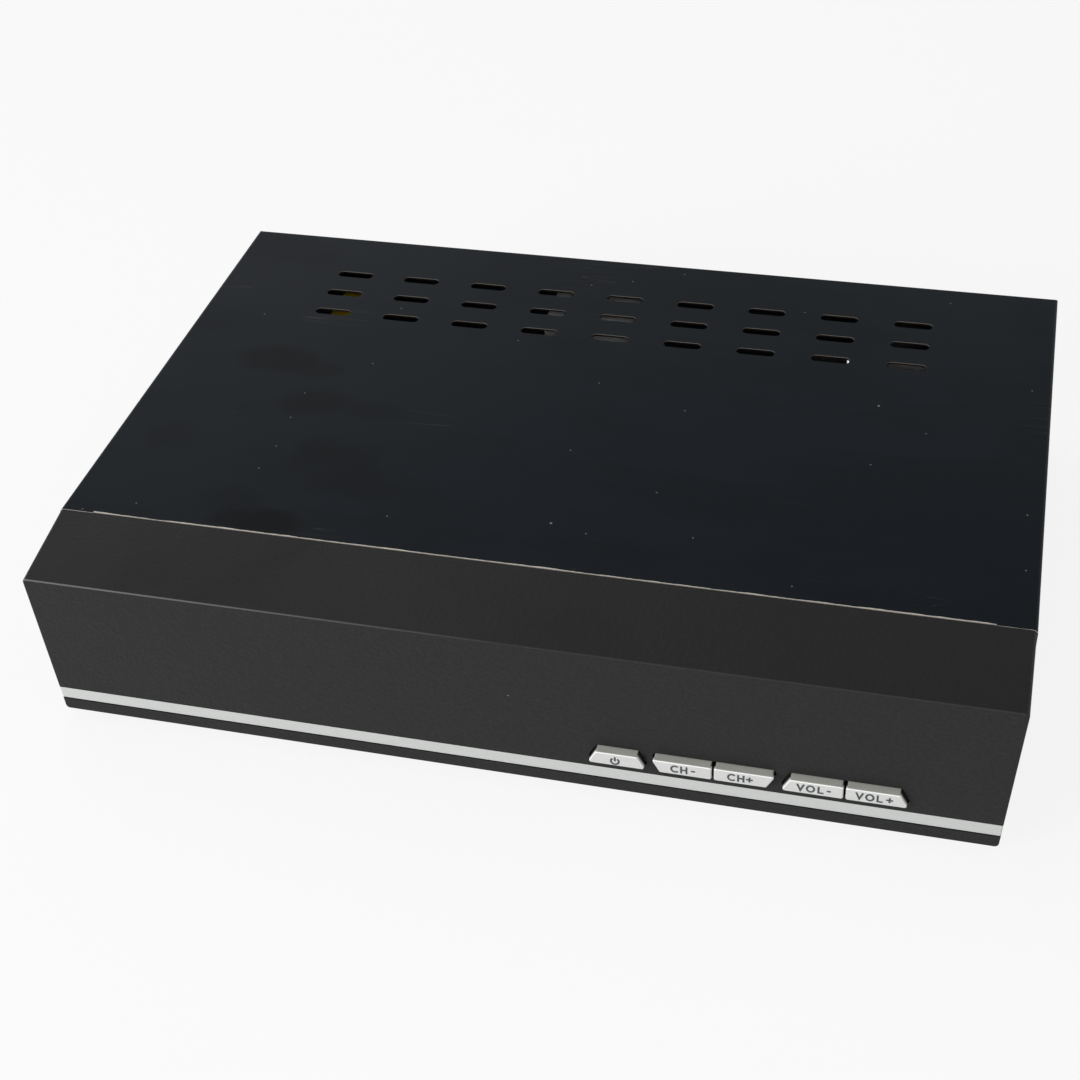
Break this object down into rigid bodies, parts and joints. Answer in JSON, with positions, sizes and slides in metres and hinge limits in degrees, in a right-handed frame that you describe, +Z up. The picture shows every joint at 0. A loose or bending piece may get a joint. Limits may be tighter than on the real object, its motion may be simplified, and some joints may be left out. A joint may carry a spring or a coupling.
{
  "type": "satellite tv receiver",
  "caption": "Slim set-top satellite receiver: folded steel cover with vent slots, sloped moulded front, silver strip and push keys, sockets at the rear.",
  "frame": {"origin": "under the middle of the whole receiver, on the surface that its feet stand on", "axes": "+X to the right seen from the front, +Y to the rear, +Z up; the panel with the keys faces -Y"},
  "size_m": [0.2248, 0.1652, 0.0457],
  "materials": {
    "top_cover": "satin textured coating",
    "base_chassis": "satin coating on zinc-plated steel",
    "front_panel": "fine moulded grain",
    "trim_strip": "silver paint, satin",
    "rubber_feet": "moulded",
    "cover_screws": "black oxide",
    "board_screws": "zinc",
    "panel_screws": "zinc",
    "key_board_screws": "zinc",
    "tact_switches": "moulded",
    "key_board": "printed circuit laminate",
    "infrared_receiver": "dark epoxy",
    "standby_lamp": "tinted epoxy",
    "main_board": "printed circuit laminate",
    "power_board": "paper laminate",
    "decoder_chip": "moulded epoxy",
    "decoder_heatsink": "extruded",
    "memory_chips": "moulded epoxy",
    "board_capacitors": "sleeved aluminium",
    "board_inductors": "ferrite",
    "tuner_can": "tin plated",
    "tuner_lid": "tin plated",
    "lnb_in_socket": "nickel plated",
    "lnb_out_socket": "nickel plated",
    "lnb_insulators": "moulded",
    "video_shell": "nickel plated",
    "video_tongue": "moulded",
    "data_shell": "nickel plated",
    "data_tongue": "moulded",
    "network_jack": "moulded",
    "network_contacts": "gold plated",
    "audio_socket": "moulded",
    "audio_barrel": "nickel plated",
    "av_body": "moulded",
    "av_shell": "tin plated",
    "mains_inlet": "moulded",
    "inlet_pins": "nickel plated",
    "transformer_core": "ferrite",
    "transformer_winding": "yellow tape",
    "mains_capacitor": "sleeved aluminium",
    "filter_capacitor": "moulded box",
    "output_capacitors": "sleeved aluminium",
    "mains_choke": "enamelled wire on a ring",
    "fuse": "glass tube in plated clips",
    "power_heatsink": "plain",
    "insulation_sheet": "film",
    "front_cable": "flat cable",
    "supply_lead": "insulated wires",
    "lead_plugs": "moulded",
    "power_key": "silver paint, satin",
    "power_plunger": "moulded",
    "channel_down_key": "silver paint, satin",
    "channel_down_plunger": "moulded",
    "channel_up_key": "silver paint, satin",
    "channel_up_plunger": "moulded",
    "volume_down_key": "silver paint, satin",
    "volume_down_plunger": "moulded",
    "volume_up_key": "silver paint, satin",
    "volume_up_plunger": "moulded"
  },
  "bodies": {
    "housing": {"top_cover": "top_cover", "base_chassis": "base_chassis", "front_panel": "front_panel", "trim_strip": "trim_strip", "rubber_feet": "rubber_feet", "cover_screws": "cover_screws", "board_screws": "board_screws", "panel_screws": "panel_screws", "key_board_screws": "key_board_screws", "tact_switches": "tact_switches", "key_board": "key_board", "infrared_receiver": "infrared_receiver", "standby_lamp": "standby_lamp", "main_board": "main_board", "power_board": "power_board", "decoder_chip": "decoder_chip", "decoder_heatsink": "decoder_heatsink", "memory_chips": "memory_chips", "board_capacitors": "board_capacitors", "board_inductors": "board_inductors", "tuner_can": "tuner_can", "tuner_lid": "tuner_lid", "lnb_in_socket": "lnb_in_socket", "lnb_out_socket": "lnb_out_socket", "lnb_insulators": "lnb_insulators", "video_shell": "video_shell", "video_tongue": "video_tongue", "data_shell": "data_shell", "data_tongue": "data_tongue", "network_jack": "network_jack", "network_contacts": "network_contacts", "audio_socket": "audio_socket", "audio_barrel": "audio_barrel", "av_body": "av_body", "av_shell": "av_shell", "mains_inlet": "mains_inlet", "inlet_pins": "inlet_pins", "transformer_core": "transformer_core", "transformer_winding": "transformer_winding", "mains_capacitor": "mains_capacitor", "filter_capacitor": "filter_capacitor", "output_capacitors": "output_capacitors", "mains_choke": "mains_choke", "fuse": "fuse", "power_heatsink": "power_heatsink", "insulation_sheet": "insulation_sheet", "front_cable": "front_cable", "supply_lead": "supply_lead", "lead_plugs": "lead_plugs"},
    "power_button": {"power_key": "power_key", "power_plunger": "power_plunger"},
    "channel_down_button": {"channel_down_key": "channel_down_key", "channel_down_plunger": "channel_down_plunger"},
    "channel_up_button": {"channel_up_key": "channel_up_key", "channel_up_plunger": "channel_up_plunger"},
    "volume_down_button": {"volume_down_key": "volume_down_key", "volume_down_plunger": "volume_down_plunger"},
    "volume_up_button": {"volume_up_key": "volume_up_key", "volume_up_plunger": "volume_up_plunger"}
  },
  "joints": [
    {"name": "power_press", "type": "slide", "parent": "housing", "child": "power_button", "axis": [0, 1, 0], "range_m": [0, 0.0005], "stiffness_N_per_m": 3200},
    {"name": "channel_down_press", "type": "slide", "parent": "housing", "child": "channel_down_button", "axis": [0, 1, 0], "range_m": [0, 0.0005], "stiffness_N_per_m": 3200},
    {"name": "channel_up_press", "type": "slide", "parent": "housing", "child": "channel_up_button", "axis": [0, 1, 0], "range_m": [0, 0.0005], "stiffness_N_per_m": 3200},
    {"name": "volume_down_press", "type": "slide", "parent": "housing", "child": "volume_down_button", "axis": [0, 1, 0], "range_m": [0, 0.0005], "stiffness_N_per_m": 3200},
    {"name": "volume_up_press", "type": "slide", "parent": "housing", "child": "volume_up_button", "axis": [0, 1, 0], "range_m": [0, 0.0005], "stiffness_N_per_m": 3200}
  ]
}
